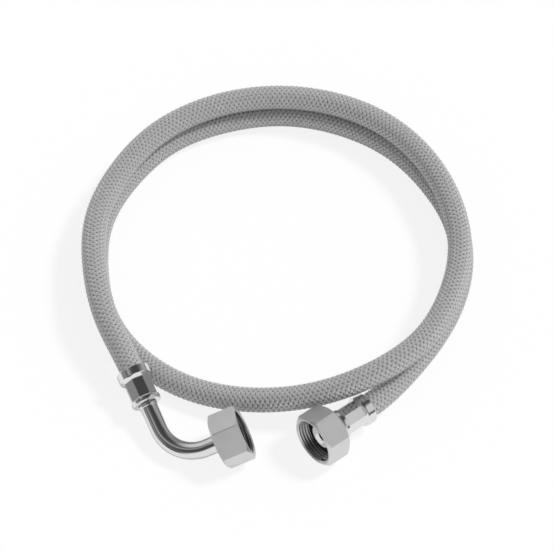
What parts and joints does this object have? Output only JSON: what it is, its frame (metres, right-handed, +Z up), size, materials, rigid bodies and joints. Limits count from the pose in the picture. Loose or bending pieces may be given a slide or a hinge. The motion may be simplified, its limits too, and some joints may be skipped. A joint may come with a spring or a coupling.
{
  "type": "flexible water supply hose",
  "caption": "Braided flexible water supply hose in a loose coil, with a straight and an elbow end, crimped ferrules, and swivelling hexagonal union nuts with flat washers.",
  "frame": {"origin": "on the floor, under the middle of the bounding box of the two end fittings", "axes": "+X from the elbow end towards the straight end, +Y from the fittings towards the coil, +Z up"},
  "size_m": [0.2255, 0.2541, 0.0361],
  "materials": {
    "nut_chrome": "polished",
    "ferrule_steel": "bright",
    "tube_plating": "polished",
    "braid_wire": "woven",
    "liner_rubber": "matt",
    "washer_rubber": "matt"
  },
  "bodies": {
    "hose": {"hose_braid": "braid_wire", "inner_tube": "liner_rubber", "straight_tail": "tube_plating", "straight_ferrule": "ferrule_steel", "straight_washer": "washer_rubber", "elbow_pipe": "tube_plating", "elbow_ferrule": "ferrule_steel", "elbow_washer": "washer_rubber"},
    "straight_nut": {"straight_nut": "nut_chrome"},
    "elbow_nut": {"elbow_nut": "nut_chrome"}
  },
  "joints": [
    {"name": "straight_nut_swivel", "type": "hinge", "parent": "hose", "child": "straight_nut", "pos_m": [0.04294, -0.01323, 0.01676], "axis": [-0.7678, -0.6307, 0.1127], "continuous": true},
    {"name": "elbow_nut_swivel", "type": "hinge", "parent": "hose", "child": "elbow_nut", "pos_m": [-0.00766, -0.01483, 0.01737], "axis": [0.9101, 0.2593, 0.3233], "continuous": true}
  ]
}
